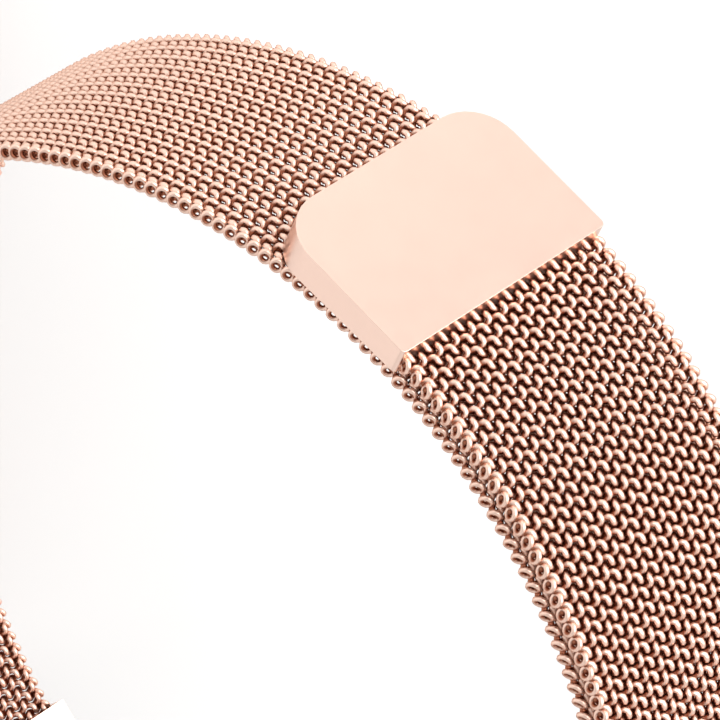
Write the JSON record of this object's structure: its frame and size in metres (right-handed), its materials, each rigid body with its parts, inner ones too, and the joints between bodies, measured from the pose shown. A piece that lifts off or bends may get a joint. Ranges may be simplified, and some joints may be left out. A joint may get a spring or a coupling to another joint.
{
  "type": "smartwatch",
  "caption": "Round smartwatch with a woven steel mesh strap threaded through a slotted ring, folded back and held by a flat magnetic clasp plate.",
  "frame": {"origin": "centre of the flat charging window on the back of the head", "axes": "+Y points out of the back towards the wrist and the display faces -Y, +Z is twelve o'clock, +X is the crown side"},
  "size_m": [0.0434, 0.0923, 0.0832],
  "materials": {
    "rose_metal": "satin rose-gold plated steel",
    "mesh_metal": "bright rose-gold plated steel wire",
    "steel": "brushed",
    "glass": "polished",
    "display": "gloss black",
    "ceramic": "polished black",
    "rubber": "matt",
    "board": "solder mask",
    "chip": "moulded",
    "cell": "foil",
    "copper": "enamelled copper",
    "magnet": "nickel plated",
    "ferrite": "matt",
    "plastic": "moulded"
  },
  "bodies": {
    "head": {"case_middle": "rose_metal", "bezel_ring": "rose_metal", "crystal": "glass", "crystal_gasket": "rubber", "display_panel": "display", "display_frame": "plastic", "display_cable": "copper", "back_cover": "rose_metal", "back_window": "ceramic", "back_gasket": "rubber", "back_screw_1": "steel", "back_screw_2": "steel", "back_screw_3": "steel", "back_screw_4": "steel", "charging_coil": "copper", "coil_shield": "ferrite", "sensor_board": "board", "green_led": "glass", "photodiode_1": "chip", "photodiode_2": "chip", "battery": "cell", "processor": "chip", "main_board": "board", "haptic_tray": "steel", "speaker_module": "plastic", "crown_tube": "steel", "crown_seal": "rubber", "crown_switch": "chip", "button_seal": "rubber", "button_switch": "chip", "spring_bar_12": "steel", "spring_bar_6": "steel", "bar_spring_12": "steel", "bar_spring_6": "steel", "strap_band": "mesh_metal", "strap_end_piece": "rose_metal"},
    "crown_stem": {"crown_stem": "steel"},
    "crown_knob": {"crown_knob": "rose_metal"},
    "side_button": {"side_button": "rose_metal"},
    "haptic_weight": {"haptic_weight": "magnet"},
    "release_pin_12": {"release_pin_12": "steel"},
    "release_pin_6": {"release_pin_6": "steel"},
    "strap_ring": {"strap_ring": "rose_metal"},
    "tail_1": {"strap_tail_1": "mesh_metal"},
    "tail_2": {"strap_tail_2": "mesh_metal"},
    "tail_3": {"strap_tail_3": "mesh_metal"},
    "tail_4": {"strap_tail_4": "mesh_metal"},
    "tail_5": {"strap_tail_5": "mesh_metal"},
    "tail_6": {"strap_tail_6": "mesh_metal", "clasp_cover": "rose_metal", "clasp_magnet_1": "magnet", "clasp_magnet_2": "magnet", "clasp_magnet_3": "magnet", "clasp_base": "steel"}
  },
  "joints": [
    {"name": "crown_press", "type": "slide", "parent": "head", "child": "crown_stem", "axis": [-1, 0, 0], "range_m": [0, 0.00035]},
    {"name": "crown_turn", "type": "hinge", "parent": "crown_stem", "child": "crown_knob", "pos_m": [0.022, -0.0056, 0], "axis": [1, 0, 0], "continuous": true},
    {"name": "button_press", "type": "slide", "parent": "head", "child": "side_button", "axis": [-0.829, 0, 0.5592], "range_m": [0, 0.00035]},
    {"name": "haptic_slide", "type": "slide", "parent": "head", "child": "haptic_weight", "axis": [1, 0, 0], "range_m": [-0.0007, 0.0007]},
    {"name": "release_12", "type": "slide", "parent": "head", "child": "release_pin_12", "axis": [-1, 0, 0], "range_m": [0, 0.001]},
    {"name": "release_6", "type": "slide", "parent": "head", "child": "release_pin_6", "axis": [-1, 0, 0], "range_m": [0, 0.001]},
    {"name": "ring_swing", "type": "hinge", "parent": "head", "child": "strap_ring", "pos_m": [0, -0.0033, 0.02325], "axis": [1, 0, 0], "range_deg": [-3, 3]},
    {"name": "peel_1", "type": "hinge", "parent": "head", "child": "tail_1", "pos_m": [0, 0.00696, 0.03686], "axis": [1, 0, 0], "range_deg": [0, 9]},
    {"name": "peel_2", "type": "hinge", "parent": "tail_1", "child": "tail_2", "pos_m": [0, 0.02152, 0.04118], "axis": [1, 0, 0], "range_deg": [0, 9]},
    {"name": "peel_3", "type": "hinge", "parent": "tail_2", "child": "tail_3", "pos_m": [0, 0.03539, 0.04127], "axis": [1, 0, 0], "range_deg": [0, 9]},
    {"name": "peel_4", "type": "hinge", "parent": "tail_3", "child": "tail_4", "pos_m": [0, 0.04799, 0.03896], "axis": [1, 0, 0], "range_deg": [0, 9]},
    {"name": "peel_5", "type": "hinge", "parent": "tail_4", "child": "tail_5", "pos_m": [0, 0.05984, 0.03469], "axis": [1, 0, 0], "range_deg": [0, 9]},
    {"name": "peel_6", "type": "hinge", "parent": "tail_5", "child": "tail_6", "pos_m": [0, 0.06985, 0.02682], "axis": [1, 0, 0], "range_deg": [0, 9]}
  ]
}
